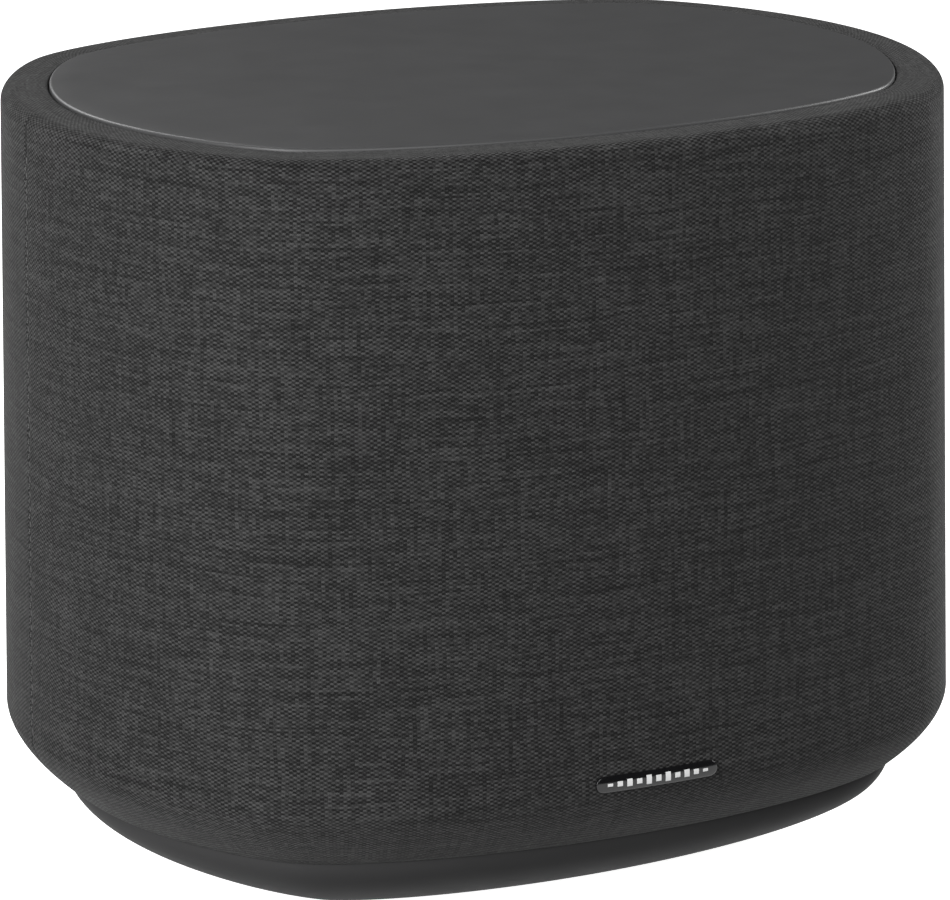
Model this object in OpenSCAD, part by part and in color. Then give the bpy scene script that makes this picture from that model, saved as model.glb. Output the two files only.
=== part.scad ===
/* [Body] */
// Width of the body across the front
body_w = 346; // [340:1:352]
// Depth of the body from front to back
body_d = 280; // [276:1:286]
// Height from the floor to the top plate
body_h = 282; // [276:1:300]
// How far each side leans in between the belly and the top
side_draft = 4; // [2:0.5:5]
// Radius of the fabric where it rolls over the top edge
top_round = 5; // [4:1:8]
// Distance from the widest outline to the edge of the top plate
plate_inset = 21.3; // [20:0.1:24]
// Thickness of the fabric with its foam backing
fabric_t = 1.2; // [0.8:0.1:1.4]
// Wall of the moulded cabinet
wall_t = 4; // [3:0.5:4.5]

/* [Belly and base] */
// Height at which the straight side ends and the belly begins
belly_z = 56; // [54:1:58]
// Height of the joint between the fabric and the base
hem_z = 32; // [31:1:33]
// How far the belly has curved in at that joint
hem_inset = 19.4; // [18:0.1:20]
// Height of the base's lower edge above the floor
base_z = 4; // [3.5:0.5:8]
// How far the base's lower edge lies inside the widest outline
base_inset = 60.5; // [58:0.1:61]
// Radius of the mouth under the woofer
mouth_r = 60; // [50:1:62]
// Radius of each rubber foot
foot_r = 10; // [8:0.5:11]

/* [Woofer] */
// Radius of the woofer's flange
flange_r = 104; // [102:0.5:104]
// Radius at the inner edge of the rubber surround
cone_r = 78; // [76:0.5:79]
// Radius of the voice coil's former
coil_r = 24.6; // [24:0.1:24.8]
// Radius of the ferrite ring
magnet_r = 70; // [62:1:72]
// Height of the ferrite ring
magnet_h = 25; // [20:1:28]
// Travel of the cone to either side of rest
cone_travel = 8; // [4:1:8]

/* [Back panel] */
// Width of the connector panel
panel_w = 110; // [108:1:112]
// Height of the connector panel
panel_h = 50; // [50:1:52]
// Height of the panel's centre above the floor
panel_z = 97; // [96:1:110]
// Radius of the connect button
button_r = 4.4; // [3.5:0.1:4.5]
// How far the connect button can be pressed
button_travel = 0.8; // [0.5:0.1:0.9]

/* [Badge] */
// Length of the badge on the front
badge_w = 47; // [42:1:48]
// Height of the badge
badge_h = 5.6; // [5:0.1:7]
// Height of the badge's centre above the floor
badge_z = 59; // [58:0.5:70]

/* [Hidden] */

// Sides of the plan outline and of round pieces
segs = 72;
$fn = 48;
eps = 0.01;
half_w = body_w / 2;
half_d = body_d / 2;

// The plan outline is given by its reach: how far the edge lies out from the centre, measured
// square to the edge, for each direction t of the edge's normal.
sharp4 = -5.95;
sharp6 = 1.75;
oval2 = (half_w - half_d) / 2 - sharp6;
mean0 = half_w - oval2 - sharp4 - sharp6;
function reach(t) = mean0 + oval2 * cos(2 * t) + sharp4 * cos(4 * t) + sharp6 * cos(6 * t);
function reach_slope(t) = -2 * oval2 * sin(2 * t) - 4 * sharp4 * sin(4 * t) - 6 * sharp6 * sin(6 * t);
// Point of the outline, moved straight in by inset, whose normal points at t. Beyond soft_in the
// outline is shrunk instead, which keeps its corners round.
soft_in = 45;
function shrink(half, inset) = (half - max(inset, soft_in)) / (half - soft_in);
function edge_point(t, inset) =
    let (h = reach(t) - min(inset, soft_in), s = reach_slope(t))
    [(h * cos(t) - s * sin(t)) * shrink(half_w, inset),
        (h * sin(t) + s * cos(t)) * shrink(half_d, inset)];
function edge_ring(inset) = [for (i = [0 : segs - 1]) edge_point(i * 360 / segs, inset)];
// Radius of the nearly flat front and back, and how far behind the face its centre lies
face_r = half_d + 4 * oval2 - 16 * sharp4 + 36 * sharp6;
face_c = face_r - half_d;

// Profiles are lists of [inset, z]. Each point of one becomes a ring of the outline.
// Belly curve, from 0 at the straight side to 1 at the joint with the base
belly_power = 1.61;
function belly(k) = [hem_inset * pow(k, belly_power), belly_z - (belly_z - hem_z) * k];
function belly_turn(k) =
    atan2(hem_inset * belly_power * pow(max(k, eps), belly_power - 1), belly_z - hem_z);
// Belly curve moved in by w, square to itself
function belly_in(k, w) =
    let (p = belly(k), a = belly_turn(k)) [p[0] + w * cos(a), p[1] + w * sin(a)];
rim_z = body_h - 1;
round_c = [side_draft + top_round, rim_z - top_round];
function top_curve(a, w) =
    [round_c[0] - (top_round - w) * cos(a), round_c[1] + (top_round - w) * sin(a)];
// Outer line of the covered body from the hem to the rim, moved in by w
function body_line(w) = concat(
    [for (k = [1 : -0.2 : 0.1]) belly_in(k, w)],
    [[w, belly_z]],
    [for (a = [0 : 22.5 : 90]) top_curve(a, w)]);
// Base curve, from 0 at the fabric to 1 at the lower edge
base_power = 1.87;
base_top = hem_inset + 0.6;
function base_curve(k, w) =
    let (a = atan2((base_inset - base_top) * base_power * pow(max(k, eps), base_power - 1), hem_z - base_z))
    [base_top + (base_inset - base_top) * pow(k, base_power) + w * cos(a),
        hem_z - (hem_z - base_z) * k + w * sin(a)];
function reversed(list) = [for (i = [len(list) - 1 : -1 : 0]) list[i]];

// Sweeps a profile round the outline. The profile runs up the outside of the wall and down its
// inside. A capped one starts and ends on flat faces; the others close on themselves.
module sweep(profile, capped = false) {
    rows = len(profile);
    points = [for (p = profile) for (q = edge_ring(p[0])) [q[0], q[1], p[1]]];
    bands = capped ? rows - 2 : rows - 1;
    walls = [for (r = [0 : bands]) for (i = [0 : segs - 1])
        let (j = (i + 1) % segs, n = (r + 1) % rows)
        [r * segs + i, n * segs + i, n * segs + j, r * segs + j]];
    caps = capped ? [[for (i = [0 : segs - 1]) i],
        [for (i = [segs - 1 : -1 : 0]) (rows - 1) * segs + i]] : [];
    polyhedron(points = points, faces = concat(caps, walls), convexity = 6);
}

// Flat plate in the outline's shape
module outline_plate(inset, z, t) {
    translate([0, 0, z])
        linear_extrude(t)
        polygon(edge_ring(inset));
}

// Rectangle with round corners, centred
module round_rect(w, h, r) {
    hw = w / 2 - r;
    hh = h / 2 - r;
    square([w - 2 * r, h], center = true);
    square([w, h - 2 * r], center = true);
    for (x = [-hw, hw], y = [-hh, hh])
        translate([x, y]) circle(r);
}

// Flat shape in X and Z pushed along Y from y0 to y1
module along_y(y0, y1) {
    translate([0, y1, 0])
        rotate([90, 0, 0])
        linear_extrude(y1 - y0)
        children();
}

// Round bar along Y
module bar_y(x, z, y0, y1, r) {
    translate([x, y0, z])
        rotate([-90, 0, 0])
        cylinder(h = y1 - y0, r = r);
}

// Tube along Z
module tube(r_in, r_out, z0, z1) {
    translate([0, 0, z0])
        difference() {
            cylinder(h = z1 - z0, r = r_out);
            translate([0, 0, -1]) cylinder(h = z1 - z0 + 2, r = r_in);
        }
}

// Pan-head screw pointing up from z, head below
module screw_up(z, r, grip, head_r, head_h) {
    translate([0, 0, z - head_h]) cylinder(h = head_h, r = head_r);
    translate([0, 0, z]) cylinder(h = grip, r = r);
}

// Copies of the children on a circle
module on_circle(count, r, turn = 0) {
    for (i = [0 : count - 1])
        rotate([0, 0, turn + i * 360 / count]) translate([r, 0, 0]) children();
}

// Copies of the children at equal turns along the outline, inset from it
module on_outline(count, inset, turn = 0) {
    for (i = [0 : count - 1]) {
        p = edge_point(turn + i * 360 / count, inset);
        translate([p[0], p[1], 0]) children();
    }
}

// ---- covered body ----
hem_lip = hem_inset + fabric_t;
rim_in = plate_inset - 0.3 - fabric_t;
seat_z = body_h - 3.5;
core_w = fabric_t + wall_t;
ledge_z = 53.8;
ledge_t = 5;
bezel_w = panel_w + 14;
bezel_h = panel_h + 14;
bezel_back = half_d - 14;

module bezel_hole(gap) {
    along_y(bezel_back - 2, half_d + 8)
        translate([0, panel_z]) round_rect(bezel_w + 2 * gap, bezel_h + 2 * gap, 7);
}

module fabric_sleeve() {
    tuck = rim_in + fabric_t;
    outer = concat(body_line(0), [[tuck - 0.8, rim_z], [tuck, rim_z - 0.8], [tuck, seat_z]]);
    inner = concat([[rim_in, seat_z], [rim_in, rim_z - fabric_t]], reversed(body_line(fabric_t)));
    color("#3f4043")
        difference() {
            sweep(concat(outer, inner));
            bezel_hole(0.15);
        }
}

module cabinet_shell() {
    floor_in = 50;
    skin = fabric_t + 0.05;
    outside = concat([[floor_in, seat_z], [rim_in - 0.05, seat_z], [rim_in - 0.05, rim_z - skin]],
        reversed(body_line(skin)));
    inside = concat([for (k = [1 : -0.25 : 0.5]) belly_in(k, core_w)],
        [[core_w + 2, ledge_z], [33, ledge_z], [33, ledge_z + ledge_t], [core_w, ledge_z + ledge_t],
        [core_w + side_draft, seat_z - wall_t - 6], [core_w + side_draft + 6, seat_z - wall_t],
        [floor_in, seat_z - wall_t]]);
    color("#26272a")
        difference() {
            sweep(reversed(concat(outside, inside)), capped = true);
            bezel_hole(0.1);
            on_outline(10, 29.5, 18) translate([0, 0, ledge_z - 1]) cylinder(h = ledge_t + 2, r = 1.95);
            for (x = foot_holes)
                translate([x, chassis_y - 4, ledge_z + 0.8]) cylinder(h = ledge_t, r = 1.82);
        }
}

module top_plate() {
    edge = 1.2;
    color("#515356")
        sweep([[50, seat_z + 0.5], [plate_inset + 0.3, seat_z + 0.5], [plate_inset, seat_z + 0.8],
            [plate_inset, body_h - edge], [plate_inset + edge * 0.3, body_h - edge * 0.3],
            [plate_inset + edge, body_h], [50, body_h]], capped = true);
}

module top_plate_adhesive() {
    color("#d8d4c8")
        translate([0, 0, seat_z])
        linear_extrude(0.5)
        difference() {
            polygon(edge_ring(plate_inset + 3));
            polygon(edge_ring(plate_inset + 28));
        }
}

// Strip that traps the fabric's lower hem under the cabinet's lip
module hem_strip() {
    color("#1d1e20")
        sweep([[hem_inset + 1.6, hem_z], [hem_inset + 3.8, hem_z + 3.4], [23.8, hem_z + 3.4], [23.8, hem_z]]);
}

// ---- badge ----
proud = 1.6;
badge_back = face_r + 0.1;
badge_front = face_r + proud - 0.25;
bar_w = 2;
bar_pitch = 3.7;
bar_heights = [1, 1.8, 2.6, 1.8, 3.2, 2.2, 3.2, 1.8, 2.6, 1.8, 1];

// Part of a curved sheet that follows the front, cut to the flat shape given
module on_front(r_in, r_out) {
    intersection() {
        along_y(-half_d - 6, -half_d + 6) children();
        translate([0, face_c, badge_z - 20])
            difference() {
                cylinder(h = 40, r = r_out, $fn = 360);
                translate([0, 0, -1]) cylinder(h = 42, r = r_in, $fn = 360);
            }
    }
}

module badge_body() {
    color("#0c0c0e")
        on_front(badge_back, badge_front)
        translate([0, badge_z]) round_rect(badge_w, badge_h, badge_h / 2 - eps);
}

module badge_bars() {
    first = -(len(bar_heights) - 1) / 2;
    color("#c9cbce")
        on_front(badge_front, badge_front + 0.25)
        for (i = [0 : len(bar_heights) - 1])
            translate([(first + i) * bar_pitch, badge_z]) square([bar_w, bar_heights[i]], center = true);
}

// ---- base ----
cover_t = 3.3;
cover_in = base_inset + 1.2;
step_z = base_z + cover_t;
baffle_z = 38;
flange_in = 38;
cover_screw_in = 66.5;
base_screw_in = 32;

module base_shell() {
    skin = 3.4;
    lip_in = cover_in - 0.4;
    color("#3a3b3e")
        difference() {
            sweep(reversed(concat(
                [for (k = [0 : 0.125 : 1]) base_curve(k, 0)],
                [[lip_in, base_z], [lip_in, step_z], [71, step_z], [71, step_z + 3]],
                [for (k = [0.86 : -0.2 : 0.25]) base_curve(k, skin)],
                [[26.6, baffle_z - 3.4], [flange_in, baffle_z - 3.4], [flange_in, baffle_z],
                [24, baffle_z], [24, hem_z]])));
            on_outline(8, base_screw_in, 22.5) translate([0, 0, hem_z]) cylinder(h = 8, r = 2.2);
            on_outline(6, cover_screw_in, 30) translate([0, 0, base_z]) cylinder(h = 8, r = 1.25);
        }
}

foot_at = [66, 38];
module at_feet() {
    for (x = [-1, 1], y = [-1, 1])
        translate([x * foot_at[0], y * foot_at[1], 0]) children();
}

module bottom_cover() {
    color("#1f2022")
        difference() {
            outline_plate(cover_in, base_z, cover_t);
            translate([0, 0, base_z - 1]) cylinder(h = cover_t + 2, r = mouth_r, $fn = 96);
            on_outline(6, cover_screw_in, 30) translate([0, 0, base_z - 1]) cylinder(h = 9, r = 1.7);
            at_feet() translate([0, 0, base_z - eps]) cylinder(h = 1.5 + eps, r = foot_r - 2);
        }
}

module cover_screws() {
    color("#5b5d60")
        on_outline(6, cover_screw_in, 30) screw_up(base_z, 1.25, cover_t + 3, 2.6, 1.8);
}

module base_screws() {
    color("#5b5d60")
        on_outline(8, base_screw_in, 22.5) screw_up(baffle_z - 3.4, 2, 15, 3.6, 2.4);
}

module rubber_feet() {
    crown = 1.2;
    color("#18181a")
        at_feet()
        rotate_extrude()
        polygon([[0, 0], [foot_r - crown, 0], [foot_r - 0.3, 0.5], [foot_r, crown], [foot_r, base_z],
            [foot_r - 2, base_z], [foot_r - 2, base_z + 1.5], [0, base_z + 1.5]]);
}

// ---- woofer, firing down ----
baffle_t = 15;
seat = 45;
baffle_in = 25;
cut_r = 94.5;
bolt_r = 100.2;

module woofer_baffle() {
    color("#6b5236")
        difference() {
            outline_plate(baffle_in, baffle_z, baffle_t);
            translate([0, 0, baffle_z - 1]) cylinder(h = baffle_t + 2, r = cut_r, $fn = 96);
            translate([0, 0, baffle_z - 1]) cylinder(h = seat - baffle_z + 1, r = flange_r + 1, $fn = 96);
            on_circle(8, bolt_r) translate([0, 0, seat - 1]) cylinder(h = 12, r = 2.02);
            on_outline(8, base_screw_in, 22.5) translate([0, 0, baffle_z - 1]) cylinder(h = 13, r = 2.02);
            on_outline(10, 29.5, 18) translate([0, 0, baffle_z - 1]) cylinder(h = baffle_t + 2, r = 2.3);
            on_outline(10, 29.5, 18) translate([0, 0, baffle_z - 1]) cylinder(h = 4, r = 4.2);
        }
}

module baffle_gasket() {
    color("#202022")
        translate([0, 0, baffle_z + baffle_t])
        linear_extrude(ledge_z - baffle_z - baffle_t)
        difference() {
            polygon(edge_ring(25.6));
            polygon(edge_ring(32.6));
            on_outline(10, 29.5, 18) circle(2.4);
        }
}

module baffle_screws() {
    color("#5b5d60")
        on_outline(10, 29.5, 18) screw_up(baffle_z + 3, 1.9, 17.5, 3.8, 2.4);
}

module woofer_basket() {
    color("#2a2b2d")
        difference() {
            rotate_extrude($fn = 96)
                polygon([[92, seat - 4], [flange_r, seat - 4], [flange_r, seat], [93.6, seat],
                    [91, seat + 12], [68, seat + 49], [56, seat + 49], [52, seat + 63.5], [28, seat + 63.5],
                    [28, seat + 61], [50, seat + 61], [54, seat + 46.5], [66, seat + 46.5],
                    [88.6, seat + 11], [91, seat]]);
            for (i = [0 : 5])
                rotate([0, 0, i * 60 + 12])
                    translate([0, 0, seat + 14])
                    linear_extrude(28)
                    polygon([[40, 0], [110, 0], [110 * cos(36), 110 * sin(36)], [40 * cos(36), 40 * sin(36)]]);
            on_circle(8, bolt_r) translate([0, 0, seat - 5]) cylinder(h = 6, r = 2.3);
        }
}

module woofer_gasket() {
    color("#111112") tube(92.4, 96.4, seat - 6.2, seat - 4.6);
}

module woofer_screws() {
    color("#5b5d60")
        on_circle(8, bolt_r) screw_up(seat - 4, 2, 12, 3.4, 2.4);
}

// Half roll of rubber between the cone and the flange
module surround() {
    roll = (92 - cone_r) / 2;
    mid = cone_r + roll;
    z = seat - 4.6;
    color("#151516")
        rotate_extrude($fn = 96)
        difference() {
            union() {
                translate([mid, z]) circle(roll, $fn = 40);
                translate([92 - 0.6, z]) square([4.4, 0.6]);
                translate([cone_r - 4, z]) square([4.6, 0.6]);
            }
            translate([mid, z]) circle(roll - 0.6, $fn = 40);
            translate([mid - roll + 0.6, z]) square([2 * roll - 1.2, roll + 1]);
            translate([cone_r - 5, z + 0.6]) square([25, roll + 2]);
        }
}

// Cone line from its rim to the neck on the voice coil, moved up by t
neck_z = seat + 35;
function cone_line(t) = [for (k = [0 : 0.125 : 1])
    [coil_r + 0.3 + (cone_r - 1 - coil_r) * (1 - k), neck_z - (neck_z - seat + 4) * pow(1 - k, 0.8) + t]];

module cone() {
    color("#232325")
        rotate_extrude($fn = 96)
        polygon(concat(cone_line(0), reversed(cone_line(1.2))));
}

module dust_cap() {
    cap_r = 36;
    rise = 10;
    ball = (cap_r * cap_r + rise * rise) / (2 * rise);
    low = neck_z - (neck_z - seat + 4) * pow((cap_r - coil_r - 0.3) / (cone_r - 1 - coil_r), 0.8);
    color("#1c1c1e")
        rotate_extrude($fn = 96)
        polygon(concat(
            [for (a = [0 : 0.125 : 1]) [cap_r * a, low - 0.9 - sqrt(ball * ball - pow(cap_r * a, 2)) + ball - rise]],
            [for (a = [1 : -0.125 : 0])
                [cap_r * a, low - 0.9 - sqrt(ball * ball - pow(cap_r * a, 2)) + ball - rise + 0.8]]));
}

module coil_former() {
    color("#c9a86a") tube(coil_r, coil_r + 0.3, neck_z - 2, seat + 81);
}

module coil_winding() {
    color("#b0622d") tube(coil_r + 0.3, coil_r + 1.8, seat + 57, seat + 79);
}

// Corrugated disc that centres the coil
module spider() {
    rim = 63;
    waves = 4;
    start = coil_r + 0.3;
    span = rim - 6 - start;
    z = seat + 45.5;
    function wave(k) = -1.1 + 1.6 * sin(360 * waves * k) * (k > 0 && k < 1 ? 1 : 0);
    low = [for (k = [0 : 1 / 48 : 1]) [start + span * k, z + wave(k) - 0.35]];
    high = [for (k = [1 : -1 / 48 : 0]) [start + span * k, z + wave(k) + 0.35]];
    color("#a9893f")
        rotate_extrude($fn = 96)
        polygon(concat(low, [[rim, z + 0.35], [rim, z + 1], [rim - 6, z + 1]], high));
}

gap_z = seat + 63.5;
gap_t = 8;
module front_pole_plate() {
    color("#8a8d90") tube(coil_r + 2.8, 65, gap_z, gap_z + gap_t);
}

module ferrite_magnet() {
    color("#3b3c3f") tube(33, magnet_r, gap_z + gap_t, gap_z + gap_t + magnet_h);
}

module yoke() {
    back = gap_z + gap_t + magnet_h;
    color("#8a8d90")
        difference() {
            union() {
                translate([0, 0, back]) cylinder(h = 8, r = 65);
                translate([0, 0, gap_z]) cylinder(h = back - gap_z + 1, r = coil_r - 0.9);
            }
            translate([0, 0, gap_z - 1]) cylinder(h = back - gap_z + 10, r = 8);
        }
}

// Strip with two lugs on the basket, where the woofer's lead is soldered
module terminal_strip() {
    color("#b08a45")
        translate([0, 60, seat + 49]) {
            translate([-9, 0, 0]) cube([18, 3, 10]);
            for (x = [-4, 4]) translate([x - 0.5, 3 - eps, 4]) cube([1, 5, 4]);
        }
}

// ---- back panel ----
panel_y = half_d - 8;
panel_t = 3;
panel_face = panel_y + panel_t;
inlet_x = 30;
inlet_w = 26;
inlet_h = 17;
button_x = -22;
lens_x = -38;
port_x = -4;
slip = 0.08;
board_y = half_d - 24;
board_t = 1.6;
post_r = 3;
board_posts = [[-44, 12], [8, 12], [-44, -12], [8, -12]];

module rear_bezel() {
    color("#202123")
        intersection() {
            difference() {
                along_y(bezel_back, half_d + 6)
                    translate([0, panel_z]) round_rect(bezel_w, bezel_h, 7);
                along_y(panel_y, half_d + 8)
                    translate([0, panel_z]) round_rect(panel_w + 0.6, panel_h + 0.6, 3);
                along_y(bezel_back - 1, panel_y + 1)
                    translate([0, panel_z]) round_rect(panel_w - 12, panel_h - 12, 3);
                at_panel_corners() bar_y(0, 0, bezel_back - 1, panel_y + 1, 1.25);
            }
            translate([0, -face_c, panel_z - 60]) cylinder(h = 120, r = face_r + proud, $fn = 360);
        }
}

module at_panel_corners() {
    for (x = [-1, 1], z = [-1, 1])
        translate([x * (panel_w / 2 - 3.5), 0, panel_z + z * (panel_h / 2 - 3.5)]) children();
}

module rear_panel() {
    color("#2b2c2f")
        difference() {
            union() {
                along_y(panel_y, panel_face) translate([0, panel_z]) round_rect(panel_w, panel_h, 3);
                for (p = board_posts)
                    bar_y(p[0], panel_z + p[1], board_y + board_t, panel_y + 1, post_r);
            }
            along_y(panel_y - 1, panel_face + 1)
                translate([inlet_x, panel_z]) round_rect(inlet_w + 0.4, inlet_h + 0.4, 3);
            bar_y(button_x, panel_z, panel_y - 1, panel_face + 1, button_r + slip);
            bar_y(lens_x, panel_z, panel_y - 1, panel_face + 1, 1.6);
            along_y(panel_y - 1, panel_face + 1) translate([port_x, panel_z]) round_rect(8.6, 3.8, 1.2);
            for (p = board_posts)
                bar_y(p[0], panel_z + p[1], board_y + board_t - 1, board_y + board_t + 7, 1.02);
            at_panel_corners() bar_y(0, 0, panel_y - 1, panel_face + 1, 1.7);
            at_panel_corners() bar_y(0, 0, panel_face - 1.4, panel_face + 1, 2.9);
        }
}

module panel_screws() {
    color("#77797c")
        at_panel_corners() {
            bar_y(0, 0, panel_face - 1.4, panel_face - 0.1, 2.6);
            bar_y(0, 0, panel_y - 4.5, panel_face - 1.4, 1.25);
        }
}

module mains_inlet() {
    color("#141415")
        difference() {
            union() {
                along_y(panel_face, panel_face + 1.6)
                    translate([inlet_x, panel_z]) round_rect(inlet_w + 5, inlet_h + 5, 4);
                along_y(panel_y - 14, panel_face)
                    translate([inlet_x, panel_z]) round_rect(inlet_w, inlet_h, 3);
            }
            along_y(panel_face - 13, panel_face + 3)
                translate([inlet_x, panel_z]) round_rect(19.4, 9.4, 4.6);
            for (x = [-4.3, 4.3])
                bar_y(inlet_x + x, panel_z, panel_y - 15, panel_face, 1.2);
        }
}

module inlet_pins() {
    color("#b9a15a")
        for (x = [-4.3, 4.3])
            bar_y(inlet_x + x, panel_z, panel_y - 18, panel_face - 3, 1.2);
}

module connect_button() {
    collar = 5.6;
    color("#1a1b1d") {
        bar_y(button_x, panel_z, panel_y - 0.2 - eps, panel_face + 1.0, button_r);
        bar_y(button_x, panel_z, panel_y - 1.4, panel_y - 0.2, collar);
        bar_y(button_x, panel_z, board_y + board_t + 5, panel_y - 1.4 + eps, 1.6);
    }
}

module switch_plunger() {
    color("#c8c9cb")
        bar_y(button_x, panel_z, board_y + board_t + 2.3, board_y + board_t + 5, 1.7);
}

module tact_switch() {
    color("#3c3d40")
        difference() {
            along_y(board_y + board_t, board_y + board_t + 3.5)
                translate([button_x, panel_z]) square(6.2, center = true);
            bar_y(button_x, panel_z, board_y + board_t + 1, board_y + board_t + 4, 1.7 + slip);
        }
}

module status_lens() {
    color("#dfe6ea") {
        bar_y(lens_x, panel_z, panel_y, panel_face + 0.3, 1.5);
        bar_y(lens_x, panel_z, board_y + board_t + 2.5, panel_y, 2.2);
    }
}

module status_led() {
    color("#f4f4ee")
        along_y(board_y + board_t, board_y + board_t + 1.2) translate([lens_x, panel_z]) square([3, 1.6], center = true);
}

module service_port() {
    color("#b8babd")
        difference() {
            along_y(board_y + board_t, panel_face - 0.3)
                translate([port_x, panel_z]) round_rect(8, 3.2, 1);
            along_y(board_y + board_t + 4, panel_face + 1)
                translate([port_x, panel_z]) round_rect(7.2, 2.4, 0.7);
        }
}

module control_board() {
    color("#1f5a38")
        difference() {
            along_y(board_y, board_y + board_t)
                translate([-18, panel_z]) square([60, 34], center = true);
            for (p = board_posts)
                bar_y(p[0], panel_z + p[1], board_y - 1, board_y + board_t + 1, 1.2);
        }
}

module control_board_screws() {
    color("#77797c")
        for (p = board_posts) {
            bar_y(p[0], panel_z + p[1], board_y - 1.5, board_y, 2);
            bar_y(p[0], panel_z + p[1], board_y, board_y + board_t + 5, 1);
        }
}

// ---- electronics ----
chassis_y = half_d - 30;
chassis_t = 2;
chassis_w = 196;
chassis_foot = ledge_z + ledge_t;
chassis_top = 262;
deck_y = chassis_y - 8;
supply_x = -54;
amp_x = 54;
boards_z = 212;
board_w = 88;
board_h = 84;
hole_dx = board_w / 2 - 5;
hole_dz = board_h / 2 - 5;
foot_holes = [-78, 78];

module at_board_holes(x) {
    for (dx = [-hole_dx, hole_dx], dz = [-hole_dz, hole_dz])
        translate([x + dx, 0, boards_z + dz]) children();
}

// Bent plate that carries the boards and cools the amplifier
module amp_chassis() {
    color("#a9abae")
        difference() {
            union() {
                translate([-chassis_w / 2, chassis_y, chassis_foot])
                    cube([chassis_w, chassis_t, chassis_top - chassis_foot]);
                translate([-chassis_w / 2, chassis_y - 8, chassis_foot])
                    cube([chassis_w, 8 + eps, chassis_t]);
            }
            translate([-66, chassis_y - 10, panel_z - 36]) cube([132, 14, 72]);
            for (x = foot_holes)
                translate([x, chassis_y - 4, chassis_foot - 1]) cylinder(h = 4, r = 1.9);
            for (x = [supply_x, amp_x])
                at_board_holes(x) bar_y(0, 0, chassis_y - 1, chassis_y + chassis_t + 1, 1.3);
        }
}

module chassis_screws() {
    color("#77797c")
        for (x = foot_holes)
            translate([x, chassis_y - 4, 0]) {
                translate([0, 0, chassis_foot + chassis_t]) cylinder(h = 2.2, r = 3.2);
                translate([0, 0, chassis_foot - 4]) cylinder(h = 4 + chassis_t, r = 1.8);
            }
}

module board_standoffs() {
    color("#c2a14d")
        for (x = [supply_x, amp_x])
            at_board_holes(x)
                difference() {
                    bar_y(0, 0, deck_y + board_t, chassis_y, 3);
                    bar_y(0, 0, deck_y, chassis_y + 1, 1.3);
                }
}

module board_screws() {
    color("#77797c")
        for (x = [supply_x, amp_x])
            at_board_holes(x) {
                bar_y(0, 0, deck_y - 1.8, deck_y, 2.5);
                bar_y(0, 0, deck_y, deck_y + board_t + 4, 1.25);
            }
}

module board_blank(x) {
    difference() {
        along_y(deck_y, deck_y + board_t)
            translate([x, boards_z]) square([board_w, board_h], center = true);
        at_board_holes(x) bar_y(0, 0, deck_y - 1, deck_y + board_t + 1, 1.4);
    }
}

// Block on the front of a board: lies in x and z, stands out by t
module on_board(x, z, w, h, t) {
    translate([x - w / 2, deck_y - t, z - h / 2]) cube([w, t, h]);
}

module amplifier_board() {
    color("#1f5a38") {
        board_blank(amp_x);
        on_board(amp_x - 22, boards_z - 22, 16, 12, 2.4);
        on_board(amp_x + 24, boards_z - 28, 22, 8, 7);
    }
}

module amp_heatsink() {
    fins = 8;
    color("#8d9093") {
        on_board(amp_x - 12, boards_z + 8, 46, 30, 4);
        for (i = [0 : fins - 1])
            on_board_at(amp_x - 12 - 22 + i * 44 / (fins - 1), boards_z + 8, 1.6, 30, 4, 18);
    }
}

// Block that starts t0 in front of the board and ends t1 in front of it
module on_board_at(x, z, w, h, t0, t1) {
    translate([x - w / 2, deck_y - t1, z - h / 2]) cube([w, t1 - t0 + eps, h]);
}

module output_chokes() {
    color("#9c5a2c")
        for (z = [-6, 14])
            difference() {
                bar_y(amp_x + 28, boards_z + z, deck_y - 11, deck_y, 8.5);
                bar_y(amp_x + 28, boards_z + z, deck_y - 12, deck_y + 1, 3.5);
            }
}

module supply_board() {
    color("#1f5a38") {
        board_blank(supply_x);
        on_board(supply_x + 30, boards_z - 24, 20, 20, 9);
        on_board(supply_x - 28, boards_z + 26, 14, 9, 8);
    }
}

module supply_transformer() {
    x = supply_x + 6;
    z = boards_z + 14;
    color("#d0a13a") {
        on_board(x, z, 30, 26, 24);
        on_board_at(x - 18.5, z, 7, 30, 2, 20);
        on_board_at(x + 18.5, z, 7, 30, 2, 20);
    }
}

module bulk_capacitors() {
    color("#23304f")
        for (x = [-30, -6])
            bar_y(supply_x + x, boards_z - 18, deck_y - 30, deck_y, 11);
}

module line_filter() {
    color("#2a6f7a")
        difference() {
            bar_y(supply_x - 28, boards_z + 8, deck_y - 13, deck_y, 10);
            bar_y(supply_x - 28, boards_z + 8, deck_y - 14, deck_y + 1, 4);
        }
}

module wireless_module() {
    color("#b4b6b9") {
        on_board(amp_x + 14, boards_z + 33, 34, 14, 1.2);
        on_board_at(amp_x + 12, boards_z + 33, 18, 12, 1.2, 3.4);
    }
}

module antenna() {
    color("#2c2d30")
        translate([amp_x - 3, deck_y - 1.2, boards_z + 40]) cube([34, 1.2, 9]);
}

// ---- leads held inside ----
function lerp(a, b, k) = a + (b - a) * k;
function unit(v) = v / norm(v);
// Route points rounded off into a smooth line: each corner becomes a curve between half-way points
function smooth_route(pts, steps) = concat([pts[0]],
    [for (i = [1 : len(pts) - 2]) for (s = [0 : steps])
        let (a = (pts[i - 1] + pts[i]) / 2, b = pts[i], c = (pts[i] + pts[i + 1]) / 2, k = s / steps)
        lerp(lerp(a, b, k), lerp(b, c, k), k)],
    [pts[len(pts) - 1]]);

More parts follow.
